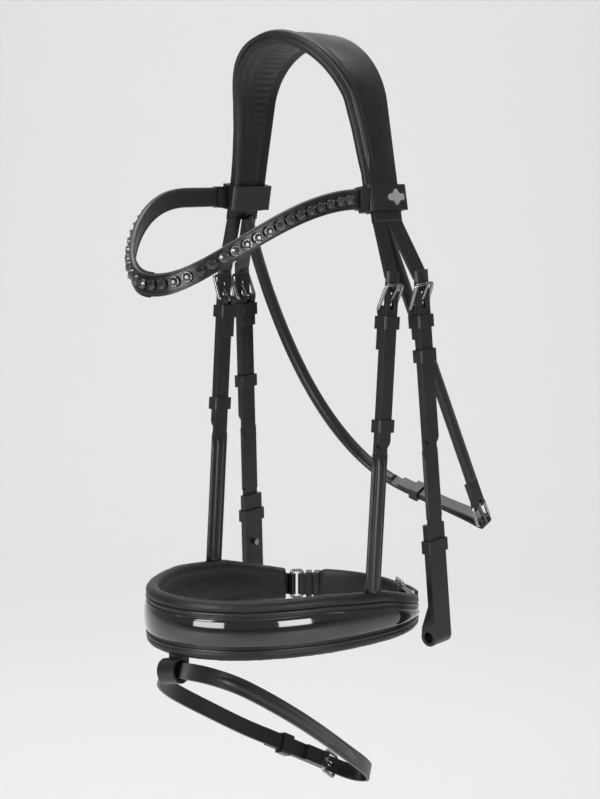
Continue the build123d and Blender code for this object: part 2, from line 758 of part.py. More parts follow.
chape_t = 2 * crank_t
with BuildPart() as crank_buckle_strap:
    with BuildSketch(Plane.XY.offset(crank_z - crank_w / 2)):
        with BuildLine():
            Spline(*nose_run(turn_at_x(crank_bar.X), turn_at_x(58), inner_mid - crank_t / 2 - chape_t / 2,
                             inner_mid - crank_t / 2 - chape_t / 2, 7))
        trace(line_width=chape_t)
        with Locations((crank_bar.X, crank_bar.Y)):
            Circle(fold_r)
            Circle(wire_r + bar_fit, mode=Mode.SUBTRACT)
    extrude(amount=crank_w)
    with Locations(crank_bar):
        Cylinder(eye_r + 1.2, 2 * (tongue_w / 2 + slot_clear), mode=Mode.SUBTRACT)
    with Locations(Plane(origin=crank_bar, x_dir=buckle_along, z_dir=(0, 0, 1))):
        Cylinder(wire_r + bar_fit, 2 * crank_w, mode=Mode.SUBTRACT)
keep("crank_buckle_strap", crank_buckle_strap.part)
keep("crank_buckle", buckle_frame(crank_plane, crank_w))
keep("crank_tongue", buckle_tongue(crank_plane))

crank_keepers = []
for x in crank_keeper_x:
    turn = turn_at_x(x)
    spot = nose_at(turn, 0)
    ring = Plane(origin=(*spot, crank_z), x_dir=(0, 0, 1), z_dir=nose_out(turn))
    with BuildPart() as crank_keeper:
        with BuildSketch(Plane(origin=ring.origin, x_dir=(0, 0, 1), z_dir=ring.y_dir).offset(-2.5)):
            with Locations((0, (inner_mid + outer_mid) / 2 - 0.9)):
                room = inner_mid - outer_mid + crank_t + 2.2
                RectangleRounded(crank_w + 2 * keeper_t + 0.2, room + 2 * keeper_t, 1.5)
                Rectangle(crank_w + 0.2, room, mode=Mode.SUBTRACT)
        extrude(amount=5)
    crank_keepers.append(crank_keeper.part)
keep("crank_keepers", Compound(children=crank_keepers))

with BuildPart() as chin_pad:
    with BuildSketch(Plane.XY.offset(crank_z - chin_h / 2)):
        with BuildLine():
            Spline(*nose_run(turn_at_x(chin_half), turn_at_x(-chin_half),
                             inner_mid + crank_t / 2 + chin_t / 2,
                             inner_mid + crank_t / 2 + chin_t / 2, 15))
        trace(line_width=chin_t)
    extrude(amount=chin_h)
keep("chin_pad", chin_pad.part)

# ------------------------------------------------------------------------- flash

dip, roll = radians(flash_dip), radians(flash_roll)
flash_plane = Plane(origin=(0, flash_y, flash_z),
                    x_dir=(cos(roll), sin(roll) * sin(dip), sin(roll) * cos(dip)),
                    z_dir=(-sin(roll), cos(roll) * sin(dip), cos(roll) * cos(dip)))
flash_square = Plane(origin=flash_plane.origin, x_dir=flash_plane.y_dir,
                     z_dir=flash_plane.x_dir)

with BuildPart() as flash_loop:
    with BuildSketch(flash_square):
        Circle(flash_bore + flash_wall)
    extrude(amount=flash_tab_w / 2, both=True)
    with BuildSketch(Plane.XY.offset(nose_bottom_z)):
        with Locations((0, flash_y + 6)):
            Rectangle(flash_tab_w, 6)
    extrude(amount=flash_z - nose_bottom_z)
    with BuildSketch(flash_square):
        Circle(flash_bore)
    extrude(amount=2 * flash_tab_w, both=True, mode=Mode.SUBTRACT)
keep("flash_loop", flash_loop.part)

run_lean = 11.7               # degrees that the buckle's run leans to the middle line
run_dir = (sin(radians(run_lean)), cos(radians(run_lean)))
run_out = (-run_dir[1], run_dir[0])
run_end = (-14.0, flash_length - 16)          # where the billet leaves the buckle


def on_run(v, n):
    """Point of the flash plane, along the buckle's run and out of it."""
    return (run_end[0] + run_dir[0] * v + run_out[0] * n, run_end[1] + run_dir[1] * v + run_out[1] * n)


flash_buckle_plane = Plane(origin=local(flash_plane, *run_end, 0),
                           x_dir=flash_plane.z_dir,
                           z_dir=flash_plane.from_local_coords(on_run(0, 1) + (0,))
                           - flash_plane.from_local_coords(run_end + (0,)))
front_mid = 55.0              # length of the blunt front of the flash
flash_round = [(flash_half * cos(a), front_mid * (1 - sin(a)))
               for a in [pi * i / 10 for i in range(11)]]
flash_path = [on_run(-86, 0), on_run(-60, 0), on_run(-30, 0), on_run(0, 0), (-6, flash_length - 2),
              (4, flash_length - 1.5), (12.5, flash_length - 12), (21, 215), (30, 165), (37, 110)]
flash_path += flash_round + [(-flash_half + 1, 90), on_run(-112, strap_mid), on_run(-90, strap_mid)]

with BuildPart() as flash_band:
    with BuildSketch(flash_plane.offset(-flash_w / 2)):
        with BuildLine():
            Spline(*flash_path)
        trace(line_width=billet_t)
    extrude(amount=flash_w)
    high, low = tail_slot()
    with BuildSketch(facing(flash_buckle_plane, -(high + low) / 2, -2.0)):
        Rectangle(tongue_w + 2 * slot_clear, low - high)
    extrude(amount=4, mode=Mode.SUBTRACT)
keep("flash_strap", flash_band.part + buckle_strap(flash_buckle_plane, flash_w, 92, 22))
keep("flash_buckle", buckle_frame(flash_buckle_plane, flash_w))
keep("flash_tongue", buckle_tongue(flash_buckle_plane))
keep("flash_keeper", keeper(flash_buckle_plane, flash_w, 66, strap_face - strap_t - keeper_clear,
                            billet_t / 2 + keeper_clear, keeper_clear))

# ------------------------------------------------------------------------- throatlash

tilt = radians(lash_tilt)
lash_plane = Plane(origin=(0, lash_y, lash_z), x_dir=(1, 0, 0), z_dir=(0, cos(tilt), sin(tilt)))
lash_foot = (lash_near_x, lash_near_s)
lash_dir = Vector(lash_near_x - lash_top_x, lash_near_s, 0).normalized()
lash_down = lash_plane.from_local_coords(tuple(lash_dir)) - lash_plane.origin
lash_out = lash_down.cross(lash_plane.z_dir)
if lash_out.X < 0:
    lash_out = lash_out * -1
lash_origin = local(lash_plane, *lash_foot, 0) + lash_down * bar_drop - lash_out * strap_mid
lash_buckle_plane = Plane(origin=lash_origin, x_dir=lash_down.cross(lash_out), z_dir=lash_out)
lash_bar = local(lash_buckle_plane, 0, -bar_drop, bar_z)
lash_cross = local(lash_buckle_plane, 0, -bar_drop + lash_reach, bar_z)
lash_cross_2d = lash_plane.to_local_coords(lash_cross)

keep("throatlash_near_strap", buckle_strap(lash_buckle_plane, lash_w, bar_drop + lash_near_s, 22))
keep("throatlash_buckle", buckle_frame(lash_buckle_plane, lash_w, 0, lash_reach))
lash_arm_tilt = degrees(asin(arm_rise / lash_reach))
keep("throatlash_tongue", buckle_tongue(lash_buckle_plane, lash_arm_tilt, lash_reach))

lash_fold = wire_r + bar_fit + lash_t
lash_main = [(-lash_top_x, 0), (-77.5, 42), (-77.0, 100), (-71.5, 143), (-62, 178), (-49, 206),
             (-34, 227), (-16, 243), (4, 253.5), (28, 262), (52, 270), (70, 276.5),
             (lash_cross_2d.X - 1.2, lash_cross_2d.Y + lash_fold - lash_t / 2)]
lash_back = [(lash_cross_2d.X + 0.8, lash_cross_2d.Y - lash_fold + lash_t / 2), (70, 271.6),
             (52, 266.8), (28, 258.8), (4, 250.2)]
with BuildPart() as lash_long:
    with BuildSketch(lash_plane.offset(-lash_w / 2)):
        for path in (lash_main, lash_back):
            with BuildLine():
                Spline(*path)
            trace(line_width=lash_t)
        with Locations((lash_cross_2d.X, lash_cross_2d.Y)):
            Circle(lash_fold)
            Circle(wire_r + bar_fit, mode=Mode.SUBTRACT)
    extrude(amount=lash_w)
    with BuildSketch(Plane(origin=lash_cross, x_dir=lash_out, z_dir=lash_plane.z_dir)):
        with Locations((lash_fold, 0)):
            Rectangle(2 * lash_fold, 4 * lash_fold)
    extrude(amount=tongue_w / 2 + slot_clear, both=True, mode=Mode.SUBTRACT)
keep("throatlash_long_strap", lash_long.part)

lash_keeper_at = (20.0, (259.2 + 256.1) / 2)
lash_keeper_dir = Vector(24, 8.3, 0).normalized()
lash_keeper_along = lash_plane.from_local_coords(tuple(lash_keeper_dir)) - lash_plane.origin
lash_keeper_plane = Plane(origin=local(lash_plane, *lash_keeper_at, 0), x_dir=lash_plane.z_dir,
                          z_dir=lash_plane.z_dir.cross(lash_keeper_along))
keep("throatlash_keeper", keeper(lash_keeper_plane, lash_w, 0, -lash_t - 0.75, lash_t + 0.75, 0.4, 8))
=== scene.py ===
"""Looks of a full size snaffle bridle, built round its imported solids.

Sizes are in millimetres in the classes below and become metres when a mesh is finished.  +Z is up,
-Y is towards the nose and +X is the horse's left (near) side.
"""

import json
import logging
from dataclasses import dataclass, field
from enum import Enum
from math import acos, asin, cos, pi, radians, sin
from typing import Callable, Iterable, Sequence

import bmesh
import bpy
from mathutils import Matrix, Vector, noise


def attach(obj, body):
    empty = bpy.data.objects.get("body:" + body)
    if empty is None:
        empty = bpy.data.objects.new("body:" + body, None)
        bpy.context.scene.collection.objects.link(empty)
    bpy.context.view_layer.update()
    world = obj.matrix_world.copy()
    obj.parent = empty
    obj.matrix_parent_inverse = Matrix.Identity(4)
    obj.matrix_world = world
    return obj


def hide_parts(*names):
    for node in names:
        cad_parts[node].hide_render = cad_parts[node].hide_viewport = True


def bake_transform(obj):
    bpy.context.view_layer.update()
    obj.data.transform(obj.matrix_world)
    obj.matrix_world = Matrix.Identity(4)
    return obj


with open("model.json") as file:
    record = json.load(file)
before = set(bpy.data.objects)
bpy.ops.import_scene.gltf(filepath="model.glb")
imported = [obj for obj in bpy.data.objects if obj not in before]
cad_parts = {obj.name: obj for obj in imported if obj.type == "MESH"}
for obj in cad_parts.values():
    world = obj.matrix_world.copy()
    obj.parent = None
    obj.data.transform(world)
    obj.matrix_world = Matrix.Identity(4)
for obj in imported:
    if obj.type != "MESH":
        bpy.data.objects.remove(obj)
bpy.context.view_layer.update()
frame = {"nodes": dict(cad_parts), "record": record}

log = logging.getLogger("bridle")
MM = 0.001
Outline = list[tuple[float, float]]


class Side(Enum):
    """Side of the horse, with its sign along X."""

    NEAR = 1
    FAR = -1

    @property
    def word(self) -> str:
        """The side's name as the nodes use it."""
        return self.name.lower()


# ------------------------------------------------------------------------------------- finishes


@dataclass(frozen=True)
class Finish:
    """Common part of every finish: a procedural material on the principled shader."""

    name: str
    slot: str
    dark: tuple[float, float, float]
    light: tuple[float, float, float]
    roughness: float
    spread: float = 0.08
    metallic: float = 0.0
    coat: float = 0.0
    coat_roughness: float = 0.1
    specular: float = 0.5
    sheen: float = 0.0
    grain: float = 0.0
    grain_size: float = 900.0
    crease: float = 0.0
    crease_size: float = 120.0
    soft_edge: float = 0.0

    def material(self) -> bpy.types.Material:
        """Build the material, or give the one that is already built.

        Returns:
            The finish's material.
        """
        made = bpy.data.materials.get(self.name)
        if made is not None:
            return made
        made = bpy.data.materials.new(self.name)
        made.use_nodes = True
        tree = made.node_tree
        shader = tree.nodes["Principled BSDF"]
        shader.inputs["Metallic"].default_value = self.metallic
        shader.inputs["Specular IOR Level"].default_value = self.specular
        shader.inputs["Coat Weight"].default_value = self.coat
        shader.inputs["Coat Roughness"].default_value = self.coat_roughness
        shader.inputs["Sheen Weight"].default_value = self.sheen
        place = tree.nodes.new("ShaderNodeTexCoord")
        cloud = self._noise(tree, place, 28.0, 4.0)
        ramp = tree.nodes.new("ShaderNodeValToRGB")
        ramp.color_ramp.elements[0].color = (*self.dark, 1)
        ramp.color_ramp.elements[1].color = (*self.light, 1)
        ramp.color_ramp.elements[0].position = 0.35
        ramp.color_ramp.elements[1].position = 0.7
        tree.links.new(cloud.outputs["Fac"], ramp.inputs["Fac"])
        tree.links.new(ramp.outputs["Color"], shader.inputs["Base Color"])
        wear = self._noise(tree, place, 75.0, 6.0)
        span = tree.nodes.new("ShaderNodeMapRange")
        span.inputs["To Min"].default_value = max(0.02, self.roughness - self.spread)
        span.inputs["To Max"].default_value = self.roughness + self.spread
        tree.links.new(wear.outputs["Fac"], span.inputs["Value"])
        tree.links.new(span.outputs["Result"], shader.inputs["Roughness"])
        self._surface(tree, place, shader)
        return made

    def _noise(self, tree: bpy.types.NodeTree, place: bpy.types.Node, scale: float,
               detail: float) -> bpy.types.Node:
        """Add a noise texture on object coordinates.

        Args:
            tree: the material's nodes.
            place: the texture coordinate node.
            scale: the noise's scale.
            detail: its octaves.

        Returns:
            The noise node.
        """
        made = tree.nodes.new("ShaderNodeTexNoise")
        made.inputs["Scale"].default_value = scale
        made.inputs["Detail"].default_value = detail
        tree.links.new(place.outputs["Object"], made.inputs["Vector"])
        return made

    def _surface(self, tree: bpy.types.NodeTree, place: bpy.types.Node,
                 shader: bpy.types.Node) -> None:
        """Link softened edges, creases and grain to the shader's normal.

        Args:
            tree: the material's nodes.
            place: the texture coordinate node.
            shader: the principled shader.
        """
        normal = None
        if self.soft_edge:
            edge = tree.nodes.new("ShaderNodeBevel")
            edge.samples = 4
            edge.inputs["Radius"].default_value = self.soft_edge
            normal = edge.outputs["Normal"]
        if self.crease:
            fold = self._noise(tree, place, self.crease_size, 3.0)
            normal = self._bump(tree, fold.outputs["Fac"], self.crease, 0.0006, normal)
        if self.grain:
            cell = tree.nodes.new("ShaderNodeTexVoronoi")
            cell.inputs["Scale"].default_value = self.grain_size
            tree.links.new(place.outputs["Object"], cell.inputs["Vector"])
            normal = self._bump(tree, cell.outputs["Distance"], self.grain, 0.0002, normal)
        if normal is not None:
            tree.links.new(normal, shader.inputs["Normal"])

    def _bump(self, tree: bpy.types.NodeTree, height: bpy.types.NodeSocket, strength: float,
              depth: float, normal: bpy.types.NodeSocket | None) -> bpy.types.NodeSocket:
        """Add one bump on top of another.

        Args:
            tree: the material's nodes.
            height: the socket that gives the height.
            strength: the bump's strength.
            depth: its height in metres.
            normal: the normal below it, if there is one.

        Returns:
            The bumped normal.
        """
        bump = tree.nodes.new("ShaderNodeBump")
        bump.inputs["Strength"].default_value = strength
        bump.inputs["Distance"].default_value = depth
        tree.links.new(height, bump.inputs["Height"])
        if normal is not None:
            tree.links.new(normal, bump.inputs["Normal"])
        return bump.outputs["Normal"]


BRIDLE_LEATHER = Finish("bridle_leather", "black_leather", (0.0045, 0.0045, 0.005),
                        (0.0095, 0.0095, 0.01), 0.36, spread=0.09, specular=0.5, coat=0.12,
                        coat_roughness=0.25, grain=0.25, grain_size=1500.0, crease=0.3,
                        crease_size=160.0, soft_edge=0.0006)
LINING_LEATHER = Finish("lining_leather", "padded_leather", (0.0045, 0.0045, 0.005),
                        (0.0105, 0.0105, 0.011), 0.45, specular=0.42, grain=0.5,
                        grain_size=1000.0, crease=0.55, crease_size=210.0)
ROLLED_LEATHER = Finish("rolled_leather", "black_leather", (0.0055, 0.0055, 0.006),
                        (0.012, 0.012, 0.013), 0.33, specular=0.5, coat=0.15,
                        coat_roughness=0.22, grain=0.25, grain_size=1400.0, crease=0.3,
                        crease_size=190.0)
PATENT_LEATHER = Finish("gloss_patent", "patent_leather", (0.0025, 0.0025, 0.003),
                        (0.004, 0.004, 0.0045), 0.09, spread=0.02, specular=0.6, coat=1.0,
                        coat_roughness=0.02, crease=0.06, crease_size=60.0)
THREAD = Finish("waxed_thread", "black_leather", (0.02, 0.02, 0.021), (0.04, 0.04, 0.042), 0.5)
GUNMETAL = Finish("gunmetal", "dark_metal", (0.27, 0.265, 0.26), (0.38, 0.375, 0.37), 0.2,
                  spread=0.06, metallic=1.0, crease=0.05, crease_size=300.0, soft_edge=0.0003)
CUP_METAL = Finish("cup_metal", "stone_trim", (0.1, 0.1, 0.105), (0.2, 0.2, 0.205), 0.26,
                   metallic=1.0, soft_edge=0.0003)
CRYSTAL = Finish("dark_crystal", "stone_trim", (0.012, 0.012, 0.014), (0.09, 0.09, 0.095), 0.06,
                 spread=0.03, metallic=0.55, specular=0.9, coat=1.0, coat_roughness=0.02)
BADGE_METAL = Finish("polished_badge", "badge_metal", (0.72, 0.72, 0.72), (0.85, 0.85, 0.85), 0.36,
                     metallic=1.0, crease=0.1, crease_size=400.0, soft_edge=0.0004)

CAD_FINISHES = {"black_leather": BRIDLE_LEATHER, "padded_leather": LINING_LEATHER,
                "patent_leather": PATENT_LEATHER, "dark_metal": GUNMETAL,
                "stone_trim": CUP_METAL, "badge_metal": BADGE_METAL}


# ------------------------------------------------------------------------------------- meshes


@dataclass(frozen=True)
class Station:
    """One place on a loft: its middle, and its directions across the piece and out of it."""

    point: Vector
    across: Vector
    out: Vector

    def at(self, x: float, n: float) -> Vector:
        """The point x across and n out of this place."""
        return self.point + self.across * x + self.out * n


def smooth_path(points: Sequence[Vector], pitch: float) -> list[Vector]:
    """Points along a smooth curve through the given ones.

    Args:
        points: places that the curve passes.
        pitch: distance between the new points.

    Returns:
        Points about a pitch apart, from the first place to the last.
    """
    path = [points[0]]
    for i in range(len(points) - 1):
        a, b, c, d = (points[max(i - 1, 0)], points[i], points[i + 1],
                      points[min(i + 2, len(points) - 1)])
        steps = max(2, round((c - b).length / pitch))
        for step in range(1, steps + 1):
            t = step / steps
            path.append(0.5 * (2 * b + (c - a) * t + (2 * a - 5 * b + 4 * c - d) * t ** 2
                               + (3 * b - a - 3 * c + d) * t ** 3))
    return path


def stations_on(path: Sequence[Vector], out: Callable[[Vector], Vector]) -> list[Station]:
    """Stations along a path, square to it.

    Args:
        path: the path's points.
        out: gives the outward direction wanted at a point.

    Returns:
        One station for each point.
    """
    made = []
    for i, point in enumerate(path):
        along = (path[min(i + 1, len(path) - 1)] - path[max(i - 1, 0)]).normalized()
        want = out(point)
        square = (want - along * want.dot(along)).normalized()
        made.append(Station(point, along.cross(square), square))
    return made


def loft(bm: bmesh.types.BMesh, stations: Sequence[Station],
         section: Callable[[float], Outline]) -> None:
    """Extrude a closed outline from station to station and close both ends.

    Args:
        bm: the mesh to add to.
        stations: places along the piece.
        section: gives the outline, across and out, at a share 0 to 1 of the piece.
    """
    first = section(0.0)
    ring = [bm.verts.new(stations[0].at(*spot)) for spot in first]
    edges = [bm.edges.new((ring[i - 1], ring[i])) for i in range(len(ring))]
    bmesh.ops.contextual_create(bm, geom=edges)
    for count, station in enumerate(stations[1:], 1):
        place = {vert: i for i, vert in enumerate(ring)}
        made = bmesh.ops.extrude_edge_only(bm, edges=edges)["geom"]
        new = [g for g in made if isinstance(g, bmesh.types.BMVert)]
        edges = [g for g in made if isinstance(g, bmesh.types.BMEdge)]
        order: dict[int, bmesh.types.BMVert] = {}
        for vert in new:
            for edge in vert.link_edges:
                other = edge.other_vert(vert)
                if other in place:
                    order[place[other]] = vert
        ring = [order[i] for i in range(len(order))]
        for vert, spot in zip(ring, section(count / (len(stations) - 1))):
            vert.co = station.at(*spot)
    bmesh.ops.contextual_create(bm, geom=edges)


def oval(width: float, height: float, sides: int = 12, lift: float = 0.0) -> Outline:
    """Oval outline.

    Args:
        width: its size across.
        height: its size outwards.
        sides: corners round it.
        lift: its middle's distance out.

    Returns:
        The outline.
    """
    return [(width / 2 * cos(2 * pi * i / sides), lift + height / 2 * sin(2 * pi * i / sides))
            for i in range(sides)]


def tube(bm: bmesh.types.BMesh, path: Sequence[Vector], out: Callable[[Vector], Vector],
         radius: float, sides: int = 8) -> None:
    """Round cord along a path.

    Args:
        bm: the mesh to add to.
        path: the path's points.
        out: outward direction at a point.
        radius: the cord's radius.
        sides: corners round it.
    """
    outline = oval(2 * radius, 2 * radius, sides)
    loft(bm, stations_on(path, out), lambda share: outline)


def sew(bm: bmesh.types.BMesh, path: Sequence[Vector], out: Callable[[Vector], Vector],
        pitch: float = 3.0, length: float = 2.1, width: float = 0.62) -> None:
    """Row of stitches along a path.

    Args:
        bm: the mesh to add to.
        path: points on the leather's face.
        out: outward direction at a point.
        pitch: distance from stitch to stitch.
        length: length of one stitch.
        width: thickness of the thread.
    """
    left = pitch / 2
    for a, b in zip(path, path[1:]):
        step = (b - a).length
        while left < step:
            spot = a.lerp(b, left / step)
            along = (b - a).normalized()
            want = out(spot)
            up = (want - along * want.dot(along)).normalized()
            turn = Matrix((along, up.cross(along), up)).transposed().to_4x4()
            size = Matrix.Diagonal((length, width, width * 0.8, 1))
            bmesh.ops.create_uvsphere(bm, u_segments=6, v_segments=4, radius=0.5,
                                      matrix=Matrix.Translation(spot) @ turn @ size)
            left += pitch
        left -= step


def finished(bm: bmesh.types.BMesh, name: str, finish: Finish, body: str | None,
             replaces: Iterable[str] = (), smooth: bool = True) -> bpy.types.Object:
    """Turn a mesh in millimetres into a piece of the object.

    Args:
        bm: the mesh, which is freed.
        name: the piece's name.
        finish: its finish.
        body: the CAD body that it rides on, or None for a piece that rides on none.
        replaces: CAD nodes that it stands for.
        smooth: whether its faces are shaded smooth.

    Returns:
        The piece.
    """
    bmesh.ops.recalc_face_normals(bm, faces=bm.faces)
    bmesh.ops.scale(bm, vec=(MM, MM, MM), verts=bm.verts)
    for face in bm.faces:
        face.smooth = smooth
    mesh = bpy.data.meshes.new(name)
    bm.to_mesh(mesh)
    bm.free()
    mesh.materials.append(finish.material())
    piece = bpy.data.objects.new(name, mesh)
    bpy.context.scene.collection.objects.link(piece)
    if body is not None:
        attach(piece, body)
    if replaces:
        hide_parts(*replaces)
    log.info("made %s, %d faces", name, len(mesh.polygons))
    return piece


def between(value: float, table: Sequence[tuple[float, float]]) -> float:
    """Straight interpolation in a short table of pairs in rising order.

    Args:
        value: where to read it.
        table: pairs of place and value.

    Returns:
        The value there, level beyond the ends.
    """
    if value <= table[0][0]:
        return table[0][1]
    for (a, p), (b, q) in zip(table, table[1:]):
        if value <= b:
            return p + (q - p) * (value - a) / (b - a)
    return table[-1][1]


# ------------------------------------------------------------------------------------- headpiece


@dataclass
class Headpiece:
    """Crown of the bridle: leather over a padded lining that follows the poll."""

    seat_radius: float = 58.0
    arch_turn: float = 80.0
    pad_thickness: float = 4.5
    leather_thickness: float = 3.0
    pad_leg: float = 86.0
    leather_leg: float = 94.0
    roll_radius: float = 3.6
    loop_zone: float = -102.0
    front_edge: tuple[tuple[float, float], ...] = (
        (-139.0, -3.2), (-102.0, -3.2), (-93.0, -4.8), (-67.0, -8.0), (-44.0, -12.5),
        (-20.0, -22.5), (-8.0, -28.0), (0.0, -31.5), (10.0, -32.5))
    rear_edge: tuple[tuple[float, float], ...] = ((-95.0, 31.2), (0.0, 32.5))

    def run_stations(self, leg: float, pitch: float) -> list[Station]:
        """Stations over the poll, from the near leg's end to the far leg's.

        Args:
            leg: straight length on each side below the arch.
            pitch: distance between stations.

        Returns:
            Stations on the seat line, with across towards the tail.
        """
        turn = radians(self.arch_turn)
        half = leg + self.seat_radius * turn
        steps = round(2 * half / pitch)
        made = []
        for step in range(steps + 1):
            run = -half + 2 * half * step / steps
            sign = -1 if run < 0 else 1
            angle = min(abs(run) / self.seat_radius, turn)
            down = max(0.0, abs(run) - self.seat_radius * turn)
            x = self.seat_radius * sin(angle) + down * cos(turn)
            z = -self.seat_radius + self.seat_radius * cos(angle) - down * sin(turn)
            made.append(Station(Vector((-sign * x, 0, z)), Vector((0, 1, 0)),
                                Vector((-sign * sin(angle), 0, cos(angle)))))
        return made

    def edges(self, z: float) -> tuple[float, float]:
        """Front and rear edge of the lining at a height."""
        return between(z, self.front_edge), between(z, self.rear_edge)

    def lining_outline(self, z: float, share: float) -> Outline:
        """Outline of the lining: a roll at each edge, a second roll in front, a quilted middle.

        Args:
            z: height of the station.
            share: share of the way over the poll, which places the fine pleats.

        Returns:
            The outline, across and out.
        """
        front, rear = self.edges(z)
        r, top = self.roll_radius, self.pad_thickness
        pleat = 0.4 * sin(share * 380.0) * min(1.0, max(0.0, (z + 75.0) / 40.0))
        outline = []
        for i in range(9):
            a = radians(60 + 210 * i / 8)
            outline.append((front + r * 0.9 + r * cos(a), top - r * 0.55 + r * sin(a)))
        wide = rear - front - 4.2 * r
        for i in range(13):
            u = i / 12
            x = front + 2.1 * r + wide * u
            quilt = -1.3 * abs(sin(pi * min(u * 4.0, 1.0))) if u < 0.25 else \
                -1.7 * sin(pi * (u - 0.25) / 0.75) ** 0.5 + pleat * sin(pi * (u - 0.25) / 0.75)
            outline.append((x, 0.9 + quilt))
        for i in range(9):
            a = radians(-90 + 210 * i / 8)
            outline.append((rear - r * 0.9 + r * cos(a), top - r * 0.55 + r * sin(a)))
        return outline

    def cover_outline(self, z: float) -> Outline:
        """Outline of the leather's face: a raised front roll, a groove and a crowned panel.

        Args:
            z: height of the station.

        Returns:
            The outline, across and out.
        """
        front, rear = self.edges(z)
        front, rear = front + 1.9, rear - 1.9
        low = self.pad_thickness + self.leather_thickness - 1.2
        face = self.pad_thickness + self.leather_thickness
        swell = min(1.0, max(0.0, (z - self.loop_zone) / 14.0))
        outline = [(front, low), (front - 0.1, face)]
        for i in range(1, 8):
            a = pi * i / 8
            outline.append((front + 3.6 - 3.6 * cos(a), face + 0.1 + 2.2 * swell * sin(a)))
        outline.append((front + 7.6, face + 0.1))
        for i in range(1, 10):
            u = i / 10
            outline.append((front + 8.0 + (rear - 1.5 - front - 8.0) * u,
                            face + 0.1 + 1.4 * swell * sin(pi * u) ** 0.6))
        outline += [(rear - 0.7, face + 0.1), (rear, face - 0.1), (rear, low)]
        return outline

    def build(self) -> None:
        """Make the lining, the leather's face, its stitching and the bead round its edge."""
        places = self.run_stations(self.pad_leg, 1.4)
        heights = [p.point.z for p in places]
        bm = bmesh.new()
        loft(bm, places, lambda s: self.lining_outline(heights[round(s * (len(heights) - 1))], s))
        lining = finished(bm, "headpiece_lining", LINING_LEATHER, "headpiece",
                          replaces=["headpiece_pad"])
        crown = self.run_stations(self.leather_leg - 1, 2.0)
        levels = [p.point.z for p in crown]
        bm = bmesh.new()
        loft(bm, crown, lambda s: self.cover_outline(levels[round(s * (len(levels) - 1))]))
        finished(bm, "headpiece_face", BRIDLE_LEATHER, "headpiece")
        face = self.pad_thickness + self.leather_thickness + 0.25
        bm = bmesh.new()
        for inset in (9.4, None):
            path, ways = [], []
            for place in (p for p in crown if p.point.z > self.loop_zone):
                front, rear = self.edges(place.point.z)
                path.append(place.at(front + inset if inset else rear - 3.1, face + 0.25))
                ways.append(place.out)
            sew(bm, path, lambda p: Vector((p.x, 0, max(p.z + self.seat_radius, 0.01))))
        finished(bm, "headpiece_stitching", THREAD, "headpiece")


# ------------------------------------------------------------------------------------- straps


@dataclass(frozen=True)
class HangingFrame:
    """Frame of a hanging strap: up the strap, out from the horse, and across the strap."""

    origin: Vector
    up: Vector
    out: Vector

    @classmethod
    def hung(cls, top: Sequence[float], foot: Sequence[float], side: Side) -> "HangingFrame":
        """Frame from a strap's bend to its foot.

        Args:
            top: the near side's bend, above the buckle.
            foot: the near side's foot.
            side: the side to make it for.

        Returns:
            The frame.
        """
        start = Vector((side.value * top[0], top[1], top[2]))
        up = (start - Vector((side.value * foot[0], foot[1], foot[2]))).normalized()
        out = Vector((side.value, 0, 0))
        return cls(start, up, (out - up * out.dot(up)).normalized())

    def at(self, x: float, v: float, n: float) -> Vector:
        """The point x across, v up and n out."""
        return self.origin + self.up.cross(self.out) * x + self.up * v + self.out * n

    def line(self, x: float, v0: float, v1: float, n: float, pitch: float = 4.0) -> list[Vector]:
        """Points from v0 to v1 along the strap.

        Args:
            x: place across.
            v0: where it starts.
            v1: where it ends.
            n: place outwards.
            pitch: distance between points.

        Returns:
            The points.
        """
        steps = max(2, round(abs(v1 - v0) / pitch))
        return [self.at(x, v0 + (v1 - v0) * i / steps, n) for i in range(steps + 1)]


